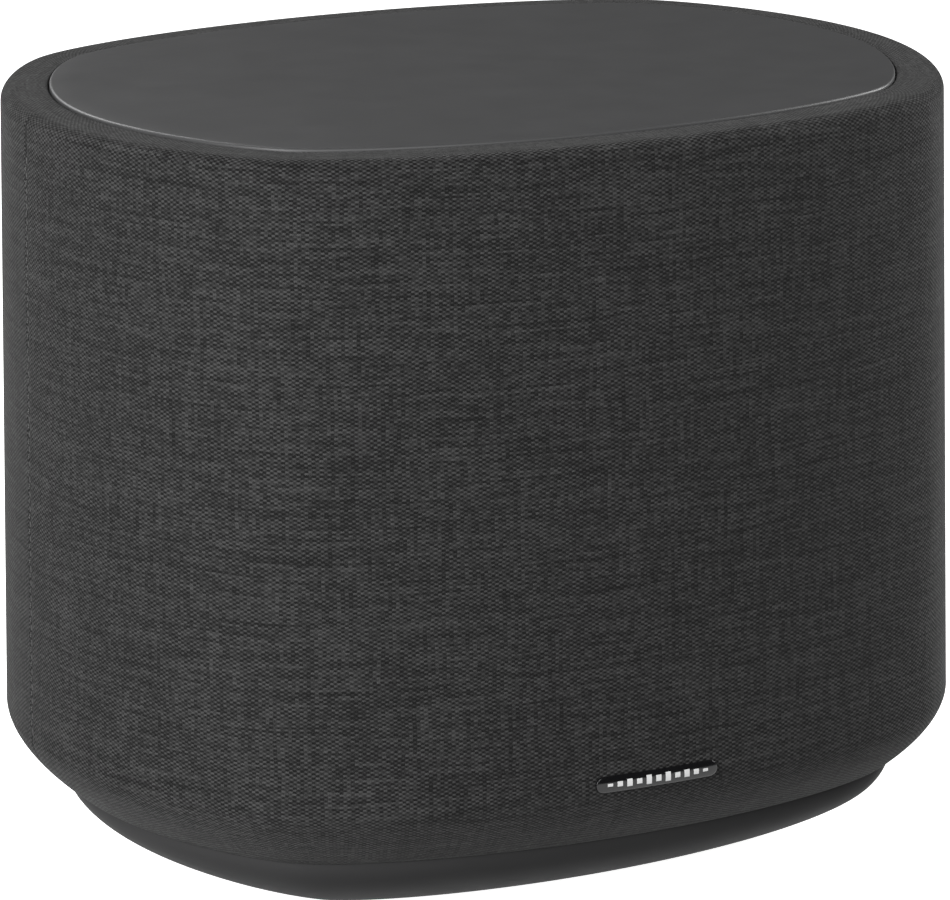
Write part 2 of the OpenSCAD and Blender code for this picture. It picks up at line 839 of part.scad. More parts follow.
// Tube along a route, with its side vectors kept square to a fixed direction
module lead(pts, r, side) {
    route = smooth_route(pts, 4);
    n = len(route);
    sides = 8;
    points = [for (i = [0 : n - 1])
        let (d = unit(route[min(i + 1, n - 1)] - route[max(i - 1, 0)]),
            u = unit(cross(d, side)), v = cross(d, u))
        for (k = [0 : sides - 1]) route[i] + r * (u * cos(k * 45) + v * sin(k * 45))];
    faces = concat([[for (k = [0 : sides - 1]) k]],
        [for (i = [0 : n - 2]) for (k = [0 : sides - 1]) for (half = [0, 1])
            let (m = (k + 1) % sides, a = i * sides, b = a + sides)
            half == 0 ? [a + k, b + k, b + m] : [a + k, b + m, a + m]],
        [[for (k = [sides - 1 : -1 : 0]) (n - 1) * sides + k]]);
    polyhedron(points = points, faces = faces);
}

mains_route = [[30, 114, 97], [30, 104, 97], [-18, 98, 108], [-64, 92, 126], [-84, 88, 150],
    [-78, 86, 174], [-78, 101.9, 174]];
woofer_route = [[0, 68.1, 100], [0, 80, 100], [22, 86, 112], [66, 88, 140], [84, 88, 158],
    [70, 86, 176], [70, 101.9, 176]];
control_route = [[-30, 115.9, 100], [-30, 106, 100], [-30, 96, 128], [0, 90, 152], [24, 88, 166],
    [32, 86, 176], [32, 101.9, 176]];

module mains_lead() {
    color("#222224") lead(mains_route, 2.4, [0, 0.3, 1]);
}

module woofer_lead() {
    color("#a3262a") lead(woofer_route, 2.2, [0, 0.3, 1]);
}

module control_lead() {
    color("#c9c9c4") lead(control_route, 2, [0, 0.3, 1]);
}

// Polyester pad that damps the air in the closed cabinet
module wadding_pad() {
    color("#d9d7d0")
        translate([0, -30, seat_z - wall_t - 26])
        linear_extrude(26)
        round_rect(210, 90, 20);
}

fabric_sleeve();
cabinet_shell();
top_plate();
top_plate_adhesive();
hem_strip();
badge_body();
badge_bars();
base_shell();
bottom_cover();
cover_screws();
base_screws();
rubber_feet();
woofer_baffle();
baffle_gasket();
baffle_screws();
woofer_basket();
woofer_gasket();
woofer_screws();
surround();
cone();
dust_cap();
coil_former();
coil_winding();
spider();
front_pole_plate();
ferrite_magnet();
yoke();
terminal_strip();
rear_bezel();
rear_panel();
panel_screws();
mains_inlet();
inlet_pins();
connect_button();
switch_plunger();
tact_switch();
status_lens();
status_led();
service_port();
control_board();
control_board_screws();
amp_chassis();
chassis_screws();
board_standoffs();
board_screws();
amplifier_board();
amp_heatsink();
output_chokes();
supply_board();
supply_transformer();
bulk_capacitors();
line_filter();
wireless_module();
antenna();
mains_lead();
woofer_lead();
control_lead();
wadding_pad();
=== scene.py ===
import math

import bmesh
import bpy
import numpy as np
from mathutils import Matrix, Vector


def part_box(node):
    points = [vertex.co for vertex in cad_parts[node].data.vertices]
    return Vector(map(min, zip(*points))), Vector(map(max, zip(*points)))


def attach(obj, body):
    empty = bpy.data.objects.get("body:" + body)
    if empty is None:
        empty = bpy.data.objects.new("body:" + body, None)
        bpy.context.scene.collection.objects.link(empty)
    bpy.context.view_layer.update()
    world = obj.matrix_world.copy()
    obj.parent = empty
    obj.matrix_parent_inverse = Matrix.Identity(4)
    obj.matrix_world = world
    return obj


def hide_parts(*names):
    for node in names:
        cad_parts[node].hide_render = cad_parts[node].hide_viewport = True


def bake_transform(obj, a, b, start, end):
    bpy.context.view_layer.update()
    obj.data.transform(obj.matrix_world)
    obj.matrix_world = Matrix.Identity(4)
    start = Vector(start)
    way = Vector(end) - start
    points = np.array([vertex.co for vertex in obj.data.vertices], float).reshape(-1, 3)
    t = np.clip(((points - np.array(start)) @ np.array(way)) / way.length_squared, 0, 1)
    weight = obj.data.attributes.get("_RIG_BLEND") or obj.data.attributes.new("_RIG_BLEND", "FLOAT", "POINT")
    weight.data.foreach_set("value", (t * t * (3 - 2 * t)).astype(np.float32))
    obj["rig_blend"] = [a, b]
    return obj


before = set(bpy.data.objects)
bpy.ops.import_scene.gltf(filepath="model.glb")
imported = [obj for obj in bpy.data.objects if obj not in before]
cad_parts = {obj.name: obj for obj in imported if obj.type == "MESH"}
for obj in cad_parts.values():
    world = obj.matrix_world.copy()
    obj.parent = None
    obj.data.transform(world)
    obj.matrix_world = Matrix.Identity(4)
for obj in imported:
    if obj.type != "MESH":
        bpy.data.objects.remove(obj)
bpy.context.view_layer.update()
mm = 0.001
print("frame loaded:", len(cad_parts), "nodes")


def nodeBox(name):
    low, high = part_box(name)
    return np.array(low), np.array(high)


# Camera, floor and light.

camera = {
    "azimuth": -26.09,  # degrees round the object from its front
    "elevation": 14.95,
    "roll": -0.41,
    "distance": 2.0,
    "orbit": (0, 0, 0.137),  # the point the camera stands 2 m from
    "aim": (-0.0003, 0, 0.1425),
    "lens": 209.2,
}


def placeCamera():
    # back = (sin a cos e, -cos a cos e, sin e), right = (cos a, sin a, 0), then turned by the roll
    a, e, r = (math.radians(camera[k]) for k in ("azimuth", "elevation", "roll"))
    stand = np.array(camera["orbit"]) + camera["distance"] * np.array(
        [math.sin(a) * math.cos(e), -math.cos(a) * math.cos(e), math.sin(e)])
    back = stand - np.array(camera["aim"])
    back = back / np.linalg.norm(back)
    right = np.cross([0, 0, 1], back)
    right = right / np.linalg.norm(right)
    up = np.cross(back, right)
    rolled = right * math.cos(r) + up * math.sin(r)
    data = bpy.data.cameras.new("camera")
    data.lens = camera["lens"]
    data.clip_end = 50
    cam = bpy.data.objects.new("camera", data)
    bpy.context.scene.collection.objects.link(cam)
    m = np.eye(4)
    m[:3, 0], m[:3, 1], m[:3, 2], m[:3, 3] = rolled, np.cross(back, rolled), back, stand
    cam.matrix_world = m.T.tolist()
    bpy.context.scene.camera = cam


placeCamera()
bpy.context.scene.view_settings.view_transform = "Standard"

studio = {
    "ambient": 0.06,
    "floorColour": (0.86, 0.86, 0.86, 1),
    "floorGlow": 1.0,
    "lamps": [
        # azimuth, elevation, distance, size, power
        ("left", -60, 22, 1.8, 0.9, 41),
        ("front", -10, 32, 1.8, 0.9, 14),
        ("right", 88, 25, 1.8, 0.9, 31),
        ("back", -165, 36, 1.8, 0.9, 18),
        ("under", -68, -22, 1.8, 0.9, 13),  # stands for the light the floor would throw up
    ],
}


def lightStudio():
    world = bpy.data.worlds.new("studio")
    bpy.context.scene.world = world
    world.use_nodes = True
    sky = world.node_tree.nodes["Background"]
    sky.inputs["Color"].default_value = (1, 1, 1, 1)
    sky.inputs["Strength"].default_value = studio["ambient"]
    for name, azimuth, elevation, distance, size, power in studio["lamps"]:
        a, e = math.radians(azimuth), math.radians(elevation)
        back = np.array([math.sin(a) * math.cos(e), -math.cos(a) * math.cos(e), math.sin(e)])
        right = np.cross([0, 0, 1], back)
        right = right / np.linalg.norm(right)
        data = bpy.data.lights.new(name, "AREA")
        data.size = size
        data.energy = power
        lamp = bpy.data.objects.new(name, data)
        bpy.context.scene.collection.objects.link(lamp)
        m = np.eye(4)
        m[:3, 0], m[:3, 1], m[:3, 2] = right, np.cross(back, right), back
        m[:3, 3] = back * distance + np.array([0, 0, 0.14])
        lamp.matrix_world = m.T.tolist()


lightStudio()


# Helpers for materials.

def newMaterial(name):
    mat = bpy.data.materials.new(name)
    mat.use_nodes = True
    return mat, mat.node_tree, mat.node_tree.nodes["Principled BSDF"]


def add(tree, kind, sockets=None, **settings):
    node = tree.nodes.new(kind)
    for key, value in settings.items():
        setattr(node, key, value)
    for key, value in (sockets or {}).items():
        if isinstance(value, bpy.types.NodeSocket):
            tree.links.new(value, node.inputs[key])
        else:
            node.inputs[key].default_value = value
    return node


def calc(tree, operation, a, b=0.0, c=0.0, clamp=False):
    node = add(tree, "ShaderNodeMath", {0: a, 1: b, 2: c}, operation=operation)
    node.use_clamp = clamp
    return node.outputs[0]


def grey(value):
    return (value, value, value, 1)


def noiseAt(tree, where, scale, detail=2.0, rough=0.5):
    sockets = {"Scale": scale, "Detail": detail, "Roughness": rough}
    if where is not None:
        sockets["Vector"] = where
    return add(tree, "ShaderNodeTexNoise", sockets).outputs["Fac"]


def pick(tree, fac, low, high, dark, light):
    # value from low to high of fac turned into a colour from dark to light
    span = add(tree, "ShaderNodeMapRange", {"Value": fac, "From Min": low, "From Max": high}).outputs[0]
    mix = add(tree, "ShaderNodeMix", {"Factor": span}, data_type="RGBA")
    mix.inputs["A"].default_value, mix.inputs["B"].default_value = dark, light
    return mix.outputs["Result"]


def bumpOf(tree, shader, height, distance, strength=1.0):
    bump = add(tree, "ShaderNodeBump", {"Height": height, "Distance": distance, "Strength": strength})
    tree.links.new(bump.outputs[0], shader.inputs["Normal"])


def objectSpot(tree, scale=(1, 1, 1)):
    place = add(tree, "ShaderNodeTexCoord").outputs["Object"]
    return add(tree, "ShaderNodeMapping", {"Vector": place, "Scale": scale}).outputs[0]


def tint(colour, factor):
    return tuple(min(1.0, c * factor) for c in colour[:3]) + (1,)


# Materials of the plain parts.

def moulded(name, colour, rough, grain=2400.0, depth=0.00002, mottle=0.08, gloss=0.4):
    # moulded plastic: fine spark-eroded grain, faint flow marks, rubbed patches
    mat, tree, shader = newMaterial(name)
    spot = objectSpot(tree)
    patch = noiseAt(tree, spot, 14.0, 3.0)
    tree.links.new(pick(tree, patch, 0.3, 0.7, tint(colour, 1 - mottle), tint(colour, 1 + mottle)),
                   shader.inputs["Base Color"])
    rub = noiseAt(tree, spot, 55.0, 4.0)
    span = add(tree, "ShaderNodeMapRange", {"Value": rub, "To Min": rough - 0.06, "To Max": rough + 0.06})
    tree.links.new(span.outputs[0], shader.inputs["Roughness"])
    shader.inputs["Specular IOR Level"].default_value = gloss
    if depth:
        bumpOf(tree, shader, noiseAt(tree, spot, grain, 2.0), depth, 0.6)
    return mat


def metal(name, colour, rough, stretch=(60, 900, 60), depth=0.00001):
    # rolled or turned metal: fine lines across one direction and slow tarnish
    mat, tree, shader = newMaterial(name)
    lines = noiseAt(tree, objectSpot(tree, stretch), 4.0, 4.0, 0.7)
    tarnish = noiseAt(tree, objectSpot(tree), 40.0, 3.0)
    both = calc(tree, "ADD", calc(tree, "MULTIPLY", lines, 0.6), calc(tree, "MULTIPLY", tarnish, 0.4))
    tree.links.new(pick(tree, both, 0.35, 0.65, tint(colour, 0.78), tint(colour, 1.12)),
                   shader.inputs["Base Color"])
    span = add(tree, "ShaderNodeMapRange", {"Value": both, "To Min": rough - 0.08, "To Max": rough + 0.1})
    tree.links.new(span.outputs[0], shader.inputs["Roughness"])
    shader.inputs["Metallic"].default_value = 1.0
    bumpOf(tree, shader, lines, depth, 0.5)
    return mat


def rubber(name, colour, rough=0.72):
    # moulded rubber: dull, with pores and a dusty bloom
    mat, tree, shader = newMaterial(name)
    spot = objectSpot(tree)
    bloom = noiseAt(tree, spot, 70.0, 4.0)
    tree.links.new(pick(tree, bloom, 0.4, 0.75, colour, tint(colour, 1.7)), shader.inputs["Base Color"])
    shader.inputs["Roughness"].default_value = rough
    shader.inputs["Specular IOR Level"].default_value = 0.3
    bumpOf(tree, shader, noiseAt(tree, spot, 1500.0, 3.0), 0.00004, 0.5)
    return mat


def fibres(name, dark, light, scale, stretch=(1, 1, 1), depth=0.00006, rough=0.9):
    # pressed fibres: pulp, fibreboard, fleece
    mat, tree, shader = newMaterial(name)
    strands = noiseAt(tree, objectSpot(tree, stretch), scale, 6.0, 0.75)
    tree.links.new(pick(tree, strands, 0.35, 0.68, dark, light), shader.inputs["Base Color"])
    shader.inputs["Roughness"].default_value = rough
    shader.inputs["Specular IOR Level"].default_value = 0.2
    bumpOf(tree, shader, strands, depth, 0.8)
    return mat


def circuitBoard(name):
    # green solder mask over copper tracks and tinned pads
    mat, tree, shader = newMaterial(name)
    spot = objectSpot(tree)
    cells = add(tree, "ShaderNodeTexVoronoi", {"Vector": spot, "Scale": 260.0}, distance="MANHATTAN")
    pads = calc(tree, "LESS_THAN", cells.outputs["Distance"], 0.16)
    tracks = add(tree, "ShaderNodeTexBrick", {"Vector": objectSpot(tree, (1, 1, 1)), "Scale": 90.0,
                 "Mortar Size": 0.03}).outputs["Fac"]
    mask = pick(tree, tracks, 0.0, 1.0, (0.008, 0.06, 0.028, 1), (0.02, 0.12, 0.055, 1))
    mix = add(tree, "ShaderNodeMix", {"Factor": pads}, data_type="RGBA")
    tree.links.new(mask, mix.inputs["A"])
    mix.inputs["B"].default_value = (0.5, 0.5, 0.48, 1)
    tree.links.new(mix.outputs["Result"], shader.inputs["Base Color"])
    shader.inputs["Roughness"].default_value = 0.35
    bumpOf(tree, shader, tracks, 0.00004, 0.5)
    return mat


def wound(name, colour):
    # enamelled wire laid in close turns round Z
    mat, tree, shader = newMaterial(name)
    turns = add(tree, "ShaderNodeTexWave", {"Vector": objectSpot(tree), "Scale": 500.0, "Distortion": 0.4},
                bands_direction="Z").outputs["Fac"]
    tree.links.new(pick(tree, turns, 0.1, 0.9, tint(colour, 0.55), tint(colour, 1.2)),
                   shader.inputs["Base Color"])
    shader.inputs["Metallic"].default_value = 0.8
    shader.inputs["Roughness"].default_value = 0.34
    bumpOf(tree, shader, turns, 0.0001, 0.7)
    return mat


finishes = {
    "shellPlastic": moulded("shellPlastic", (0.012, 0.012, 0.013), 0.6),
    "platePlastic": moulded("platePlastic", (0.046, 0.0462, 0.047), 0.44, 3000.0, 0.000012, 0.03, 0.38),
    "basePlastic": moulded("basePlastic", (0.034, 0.034, 0.0345), 0.62, 3000.0, 0.00001, 0.05, 0.02),
    "panelPlastic": moulded("panelPlastic", (0.016, 0.016, 0.017), 0.5, 1800.0, 0.00003),
    "blackGloss": moulded("blackGloss", (0.004, 0.004, 0.0045), 0.14, 0.0, 0, 0.1, 0.36),
    "lightBars": moulded("lightBars", (0.6, 0.6, 0.6), 0.4, 1800.0, 0.00001, 0.04),
    "darkPlastic": moulded("darkPlastic", (0.03, 0.03, 0.033), 0.46),
    "whitePlastic": moulded("whitePlastic", (0.72, 0.72, 0.7), 0.4),
    "clearLens": moulded("clearLens", (0.7, 0.75, 0.78), 0.2, 900.0, 0.00001),
    "foamTape": fibres("foamTape", (0.55, 0.52, 0.44, 1), (0.78, 0.75, 0.66, 1), 900.0),
    "blackRubber": rubber("blackRubber", (0.012, 0.012, 0.013, 1)),
    "rollRubber": rubber("rollRubber", (0.016, 0.016, 0.017, 1), 0.5),
    "leadBlack": rubber("leadBlack", (0.014, 0.014, 0.015, 1), 0.5),
    "leadRed": rubber("leadRed", (0.32, 0.015, 0.02, 1), 0.5),
    "leadGrey": rubber("leadGrey", (0.38, 0.38, 0.37, 1), 0.5),
    "fibreboard": fibres("fibreboard", (0.13, 0.075, 0.036, 1), (0.3, 0.2, 0.11, 1), 420.0, (1, 1, 3)),
    "pulp": fibres("pulp", (0.009, 0.009, 0.01, 1), (0.028, 0.028, 0.03, 1), 520.0),
    "fleece": fibres("fleece", (0.6, 0.58, 0.53, 1), (0.88, 0.87, 0.84, 1), 160.0, (1, 1, 2), 0.0012),
    "spiderCloth": fibres("spiderCloth", (0.24, 0.13, 0.045, 1),
        (0.5, 0.34, 0.15, 1), 1400.0, (1, 1, 1), 0.0001),
    "resinFilm": fibres("resinFilm", (0.42, 0.27, 0.09, 1),
        (0.62, 0.45, 0.2, 1), 300.0, (1, 1, 1), 0.00001, 0.4),
    "windingTape": fibres("windingTape", (0.5, 0.3, 0.04, 1),
        (0.72, 0.48, 0.1, 1), 200.0, (1, 1, 8), 0.00002, 0.4),
    "ferrite": fibres("ferrite", (0.03, 0.03, 0.032, 1),
        (0.075, 0.075, 0.078, 1), 1300.0, (1, 1, 1), 0.00005, 0.55),
    "chokeCore": fibres("chokeCore", (0.03, 0.14, 0.16, 1),
        (0.07, 0.27, 0.3, 1), 700.0, (1, 1, 1), 0.00002, 0.5),
    "screwSteel": metal("screwSteel", (0.26, 0.26, 0.27, 1), 0.36),
    "platedSteel": metal("platedSteel", (0.5, 0.51, 0.52, 1), 0.32),
    "bareAluminium": metal("bareAluminium", (0.7, 0.71, 0.72, 1), 0.34, (900, 60, 60)),
    "brass": metal("brass", (0.62, 0.44, 0.16, 1), 0.3),
    "copper": wound("copper", (0.6, 0.24, 0.08, 1)),
    "powderCoat": moulded("powderCoat", (0.016, 0.016, 0.017), 0.55, 1100.0, 0.00008),
    "capSleeve": moulded("capSleeve", (0.012, 0.02, 0.07), 0.3),
    "board": circuitBoard("board"),
}

nodeFinish = {
    "cabinet_shell": "shellPlastic", "top_plate_adhesive": "foamTape", "hem_strip": "shellPlastic",
    "bottom_cover": "panelPlastic",
    "base_screws": "screwSteel", "rubber_feet": "blackRubber", "woofer_baffle": "fibreboard",
    "baffle_gasket": "blackRubber", "baffle_screws": "screwSteel", "woofer_basket": "powderCoat",
    "woofer_gasket": "blackRubber", "woofer_screws": "screwSteel", "cone": "pulp", "dust_cap": "pulp",
    "coil_former": "resinFilm", "coil_winding": "copper", "front_pole_plate": "platedSteel",
    "ferrite_magnet": "ferrite", "yoke": "platedSteel", "terminal_strip": "brass",
    "rear_bezel": "panelPlastic", "rear_panel": "panelPlastic", "mains_inlet": "blackGloss",
    "inlet_pins": "brass", "connect_button": "darkPlastic", "switch_plunger": "whitePlastic",
    "tact_switch": "darkPlastic", "status_lens": "clearLens", "status_led": "whitePlastic",
    "service_port": "platedSteel", "control_board": "board", "control_board_screws": "screwSteel",
    "amp_chassis": "bareAluminium", "chassis_screws": "screwSteel", "board_standoffs": "brass",
    "board_screws": "screwSteel", "amplifier_board": "board", "amp_heatsink": "bareAluminium",
    "output_chokes": "copper", "supply_board": "board", "supply_transformer": "windingTape",
    "bulk_capacitors": "capSleeve", "line_filter": "chokeCore", "wireless_module": "platedSteel",
    "antenna": "darkPlastic", "mains_lead": "leadBlack", "woofer_lead": "leadRed",
    "control_lead": "leadGrey",
}
for nodeName, finishName in nodeFinish.items():
    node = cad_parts[nodeName]
    for slot in node.material_slots:
        slot.material = finishes[finishName]
print("finishes on", len(nodeFinish), "nodes")


# Helpers for meshes.

def meshFrom(name, points, quads, material, uv=None, sharp=30.0):
    # points (n, 3), quads (m, 4); uv holds a pair for each quad corner
    mesh = bpy.data.meshes.new(name)
    mesh.from_pydata(np.asarray(points).tolist(), [], [list(q) for q in np.asarray(quads).tolist()])
    if uv is not None:
        layer = mesh.uv_layers.new(name="cloth")
        layer.data.foreach_set("uv", np.asarray(uv, dtype=np.float32).ravel())
    mesh.materials.append(material)
    mesh.validate()
    mesh.shade_smooth()
    mesh.set_sharp_from_angle(angle=math.radians(sharp))
    piece = bpy.data.objects.new(name, mesh)
    bpy.context.scene.collection.objects.link(piece)
    return piece


def meshFromFaces(name, points, faces, material, sharp=30.0):
    mesh = bpy.data.meshes.new(name)
    mesh.from_pydata(np.asarray(points).tolist(), [], faces)
    mesh.materials.append(material)
    mesh.validate()
    mesh.shade_smooth()
    mesh.set_sharp_from_angle(angle=math.radians(sharp))
    piece = bpy.data.objects.new(name, mesh)
    bpy.context.scene.collection.objects.link(piece)
    return piece


def gridQuads(rows, cols, wrapRows=False, wrapCols=True):
    # corner numbers of each cell of a rows by cols grid, counter-clockwise seen from outside
    r = np.arange(rows if wrapRows else rows - 1)
    c = np.arange(cols if wrapCols else cols - 1)
    rr, cc = np.meshgrid(r, c, indexing="ij")
    rn, cn = (rr + 1) % rows, (cc + 1) % cols
    return np.stack([rr * cols + cc, rr * cols + cn, rn * cols + cn, rn * cols + cc], -1).reshape(-1, 4)


def closedFaces(rows, cols):
    # a grid of rings whose first ring is closed to point rows * cols and whose last to the one after it
    c = np.arange(cols)
    turn = (c + 1) % cols
    last = (rows - 1) * cols
    bottom = np.stack([np.full(cols, rows * cols), turn, c], -1)
    top = np.stack([np.full(cols, rows * cols + 1), last + c, last + turn], -1)
    return gridQuads(rows, cols).tolist() + bottom.tolist() + top.tolist()


sleeveLow, sleeveHigh = nodeBox("fabric_sleeve")
plateLow, plateHigh = nodeBox("top_plate")
baseLow, baseHigh = nodeBox("base_shell")

body = {
    "halfWidth": float(sleeveHigh[0]),
    "halfDepth": float(sleeveHigh[1]),
    "sharp4": -5.95 * mm,  # squareness of the outline
    "sharp6": 1.75 * mm,
    "softIn": 45 * mm,  # past this inset the outline is shrunk instead of moved in
    "draft": 4 * mm,
    "topRound": 5 * mm,
    "bellyZ": 56 * mm,
    "hemZ": float(sleeveLow[2]),
    "hemInset": 19.4 * mm,
    "bellyPower": 1.61,
    "rimZ": float(sleeveHigh[2]),
}
body["oval"] = (body["halfWidth"] - body["halfDepth"]) / 2 - body["sharp6"]
body["mean"] = body["halfWidth"] - body["oval"] - body["sharp4"] - body["sharp6"]


def edgePoints(t, inset):
    # reach h(t) = mean + oval cos 2t + sharp4 cos 4t + sharp6 cos 6t, point = (h - inset) n(t) + h'(t) n'(t),
    # scaled towards the middle by (half - inset) / (half - softIn) once inset passes softIn
    h = (body["mean"] + body["oval"] * np.cos(2 * t) + body["sharp4"] * np.cos(4 * t)
         + body["sharp6"] * np.cos(6 * t))
    s = (-2 * body["oval"] * np.sin(2 * t) - 4 * body["sharp4"] * np.sin(4 * t)
         - 6 * body["sharp6"] * np.sin(6 * t))
    h = h - np.minimum(inset, body["softIn"])
    past = np.maximum(inset, body["softIn"])
    x = (h * np.cos(t) - s * np.sin(t)) * (body["halfWidth"] - past) / (body["halfWidth"] - body["softIn"])
    y = (h * np.sin(t) + s * np.cos(t)) * (body["halfDepth"] - past) / (body["halfDepth"] - body["softIn"])
    return x, y


def sweep(profile, turns):
    # profile rows (inset, z) carried round the outline at the normal angles in turns: (rows, cols, 3)
    inset, z = profile[:, :1], profile[:, 1:]
    x, y = edgePoints(turns[None, :], inset)
    return np.stack([x, y, np.broadcast_to(z, x.shape)], -1)


def arc(cx, cz, r, a0, a1, steps):
    # points of a circle about (cx, cz) from angle a0 to a1, in degrees
    a = np.radians(np.linspace(a0, a1, steps))
    return np.stack([cx + r * np.cos(a), cz + r * np.sin(a)], -1)


# Woven cover.

cloth = {
    "warpPitch": 1.33 * mm,
    "weftPitch": 0.745 * mm,
    "seamTurn": 178.0,  # normal angle of the upright seam, on the left end
    "seamWidth": 1.0 * mm,
    "seamDepth": 0.35 * mm,
    "columns": 460,
    "tuckInset": float(body["halfWidth"] - plateHigh[0]) - 0.3 * mm,
    "tuckRound": 0.9 * mm,
    "tuckZ": float(plateLow[2]),
    "crest": 1.5,  # above 1 the crossings are narrow and the ground between them wide
    "dark": 0.0036,
    "light": 0.047,
}


def clothProfile():
    # belly: inset = hemInset k^power for k from 1 at the hem to 0 at bellyZ; then a straight side leaning in
    # by the draft, a quarter circle over the rim, a short flat, and a small roll down beside the plate
    k = np.linspace(1, 0, 26)[:-1]
    belly = np.stack([body["hemInset"] * k ** body["bellyPower"],
                      body["bellyZ"] - (body["bellyZ"] - body["hemZ"]) * k], -1)
    hemR, hemIn = 0.9 * mm, 1.3 * mm
    turnIn = arc(body["hemInset"] + hemIn, body["hemZ"] + hemR, hemR, 300, 225, 4)
    roundX, roundZ = body["draft"] + body["topRound"], body["rimZ"] - body["topRound"]
    side = np.stack([np.linspace(0, body["draft"], 70)[:-1],
                     np.linspace(body["bellyZ"], roundZ, 70)[:-1]], -1)
    top = arc(roundX, roundZ, body["topRound"], 180, 90, 13)
    roll = arc(cloth["tuckInset"] - cloth["tuckRound"], body["rimZ"] - cloth["tuckRound"], cloth["tuckRound"],
               90, 0, 6)
    down = np.array([[cloth["tuckInset"], cloth["tuckZ"]]])
    return np.concatenate([turnIn, belly, side, top, roll, down])


def wovenCloth(perimeter, seamAt):
    # plain weave: cos(pi u / warp) cos(pi v / weft) is high where a weft thread lies on top and low where a
    # warp thread does; each thread has its own tone along its length, and some are dark slubs
    mat, tree, shader = newMaterial("wovenCloth")
    uv = add(tree, "ShaderNodeUVMap", uv_map="cloth").outputs[0]
    split = add(tree, "ShaderNodeSeparateXYZ", {0: uv})
    warps = round(perimeter / cloth["warpPitch"] / 2) * 2  # an even number of threads meets at the seam
    sway = add(tree, "ShaderNodeTexNoise", {"Vector": uv, "Scale": 90.0, "Detail": 2.0},
               noise_dimensions="2D")
    swayUp = add(tree, "ShaderNodeTexNoise", {"Vector": uv, "Scale": 37.0, "Detail": 3.0},
                 noise_dimensions="2D")
    u = calc(tree, "ADD", calc(tree, "MULTIPLY", split.outputs[0], warps / perimeter),
             calc(tree, "MULTIPLY", calc(tree, "SUBTRACT", sway.outputs["Fac"], 0.5), 0.9))
    v = calc(tree, "ADD", calc(tree, "MULTIPLY", split.outputs[1], 1 / cloth["weftPitch"]),
             calc(tree, "MULTIPLY", calc(tree, "SUBTRACT", swayUp.outputs["Fac"], 0.5), 2.4))
    weave = calc(tree, "MULTIPLY", calc(tree, "COSINE", calc(tree, "MULTIPLY", u, math.pi)),
                 calc(tree, "COSINE", calc(tree, "MULTIPLY", v, math.pi)))
    row = calc(tree, "ROUND", v)
    col = calc(tree, "ROUND", u)

    def along(a, b, c, scaleA, scaleB):
        place = add(tree, "ShaderNodeCombineXYZ", {0: calc(tree, "MULTIPLY", a, scaleA),
                                                   1: calc(tree, "MULTIPLY", b, scaleB), 2: c}).outputs[0]
        return noiseAt(tree, place, 1.0, 2.5, 0.6)

    weftTone = along(u, row, 0.0, 0.045, 3.17)
    warpTone = along(v, col, 7.0, 0.03, 2.71)
    slub = along(u, row, 19.0, 0.022, 0.83)
    thick = along(v, col, 31.0, 0.02, 0.61)
    cell = add(tree, "ShaderNodeTexWhiteNoise", {"Vector": add(
        tree, "ShaderNodeCombineXYZ", {0: row, 1: col}).outputs[0]}, noise_dimensions="2D").outputs["Value"]
    tone = calc(tree, "ADD", calc(tree, "MULTIPLY", calc(tree, "SUBTRACT", weftTone, 0.5), 1.5),
                calc(tree, "MULTIPLY", calc(tree, "SUBTRACT", warpTone, 0.5), 0.9))
    tone = calc(tree, "ADD", tone, calc(tree, "MULTIPLY", calc(tree, "SUBTRACT", cell, 0.5), 0.6))
    darkRun = add(tree, "ShaderNodeMapRange", {"Value": slub, "From Min": 0.33, "From Max": 0.5,
                                               "To Min": -0.3, "To Max": 0.0}).outputs[0]
    darkWarp = add(tree, "ShaderNodeMapRange", {"Value": thick, "From Min": 0.28, "From Max": 0.42,
                                                "To Min": -0.24, "To Max": 0.0}).outputs[0]
    tone = calc(tree, "ADD", tone, calc(tree, "ADD", darkRun, darkWarp))
    lift = calc(tree, "POWER", calc(tree, "MULTIPLY_ADD", weave, 0.5, 0.5), cloth["crest"])
    bright = calc(tree, "MULTIPLY", calc(tree, "ADD", lift, calc(tree, "MULTIPLY", tone, 0.5)),
                  calc(tree, "ADD", calc(tree, "MULTIPLY", tone, 0.6), 1.0))
    # the seam is a sunken line; the colour is darkened along it as painted shade in that groove
    away = calc(tree, "ABSOLUTE", calc(tree, "SUBTRACT", split.outputs[0], seamAt))
    away = calc(tree, "MINIMUM", away, calc(tree, "SUBTRACT", perimeter, away))
    seam = add(tree, "ShaderNodeMapRange", {"Value": away, "From Min": 0.0002, "From Max": 0.0011,
                                            "To Min": 0.55, "To Max": 1.0}).outputs[0]
    bright = calc(tree, "MULTIPLY", bright, seam)
    tree.links.new(pick(tree, bright, 0.0, 1.0, grey(cloth["dark"]), grey(cloth["light"])),
                   shader.inputs["Base Color"])
    shader.inputs["Roughness"].default_value = 0.88
    shader.inputs["Specular IOR Level"].default_value = 0.12
    shader.inputs["Sheen Weight"].default_value = 0.03
    shader.inputs["Sheen Roughness"].default_value = 0.45
    bumpOf(tree, shader, calc(tree, "ADD", weave, calc(tree, "MULTIPLY", tone, 0.5)), 0.00016, 0.8)
    return mat


